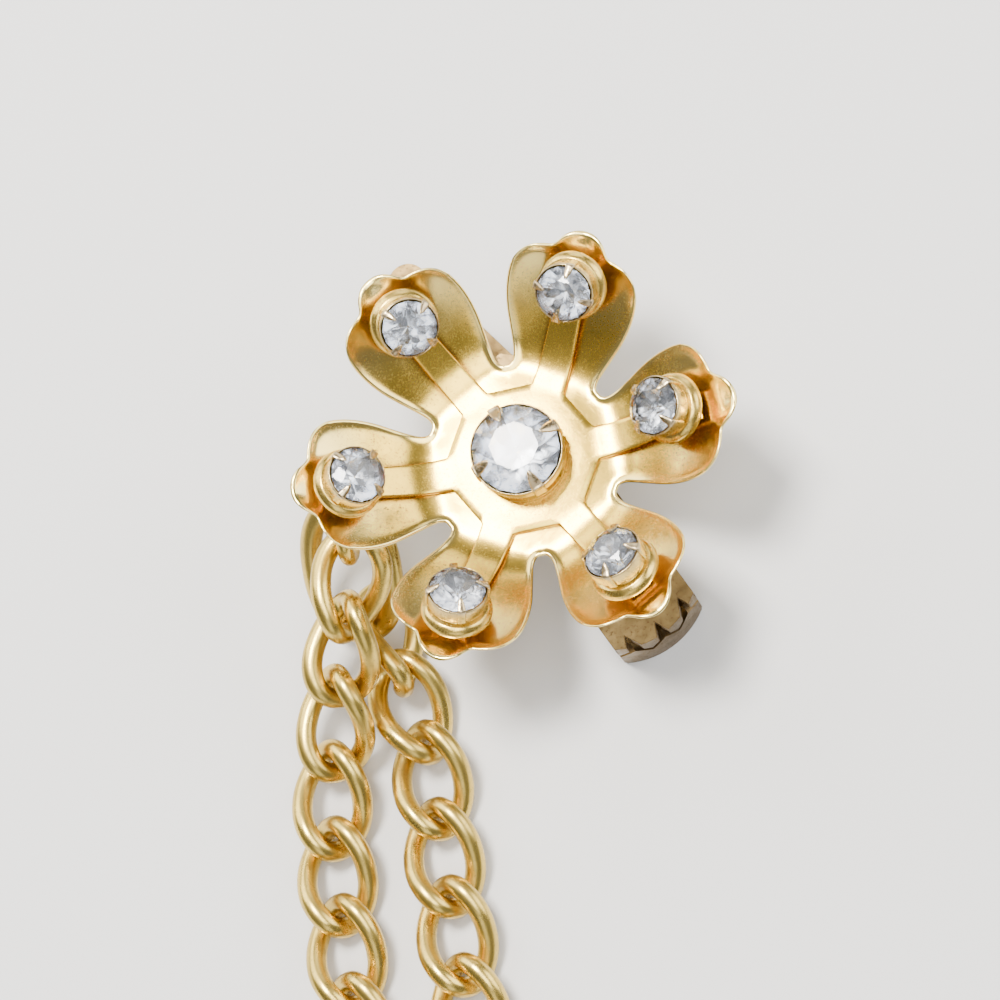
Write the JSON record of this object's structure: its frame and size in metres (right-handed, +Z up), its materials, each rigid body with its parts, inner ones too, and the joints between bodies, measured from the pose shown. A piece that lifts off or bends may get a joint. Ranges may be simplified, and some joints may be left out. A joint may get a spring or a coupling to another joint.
{
  "type": "sweater clip with two lengths of chain",
  "caption": "Gold-coloured flower with round clear stones on a spring-hinged toothed clip, with two loose lengths of oval-link chain.",
  "frame": {"origin": "point on the clip's lower belly straight under the middle of the flower, on the surface that the clip lies on", "axes": "+Z up out of the surface, through the middle stone; +Y from the hanging end of the chain towards the flower"},
  "size_m": [0.0317, 0.0586, 0.0156],
  "materials": {
    "gold_plate": "bright gold plating on stamped brass, tarnished brown in its hollows",
    "setting_metal": "gold plating worn greyish brown on its rims and prongs",
    "chain_gold": "satin pale gold plating",
    "clip_metal": "dull gold plating",
    "spring_steel": "plain drawn wire",
    "crystal": "clear cut glass with a foiled back"
  },
  "bodies": {
    "flower": {"petals": "gold_plate", "star": "gold_plate", "center_setting": "setting_metal", "center_stone": "crystal", "petal_setting_1": "setting_metal", "petal_setting_2": "setting_metal", "petal_setting_3": "setting_metal", "petal_setting_4": "setting_metal", "petal_setting_5": "setting_metal", "petal_setting_6": "setting_metal", "petal_stone_1": "crystal", "petal_stone_2": "crystal", "petal_stone_3": "crystal", "petal_stone_4": "crystal", "petal_stone_5": "crystal", "petal_stone_6": "crystal", "clip_plate": "clip_metal", "hinge_pin": "clip_metal", "clip_spring": "spring_steel", "hang_loop": "chain_gold", "large_ring": "chain_gold", "left_link_1": "chain_gold", "left_link_2": "chain_gold", "left_link_3": "chain_gold", "left_link_4": "chain_gold", "left_link_5": "chain_gold", "left_link_6": "chain_gold", "left_link_7": "chain_gold", "right_link_1": "chain_gold", "right_link_2": "chain_gold", "right_link_3": "chain_gold", "right_link_4": "chain_gold", "right_link_5": "chain_gold", "right_link_6": "chain_gold"},
    "jaw": {"clip_jaw": "clip_metal"}
  },
  "joints": [
    {"name": "jaw_hinge", "type": "hinge", "parent": "flower", "child": "jaw", "pos_m": [-0.00237, 0.00446, 0.004], "axis": [0.809, 0.5878, 0], "range_deg": [0, 22], "stiffness_Nm_per_rad": 0.002, "springref_deg": -11.46, "deforming": ["clip_spring"]}
  ]
}
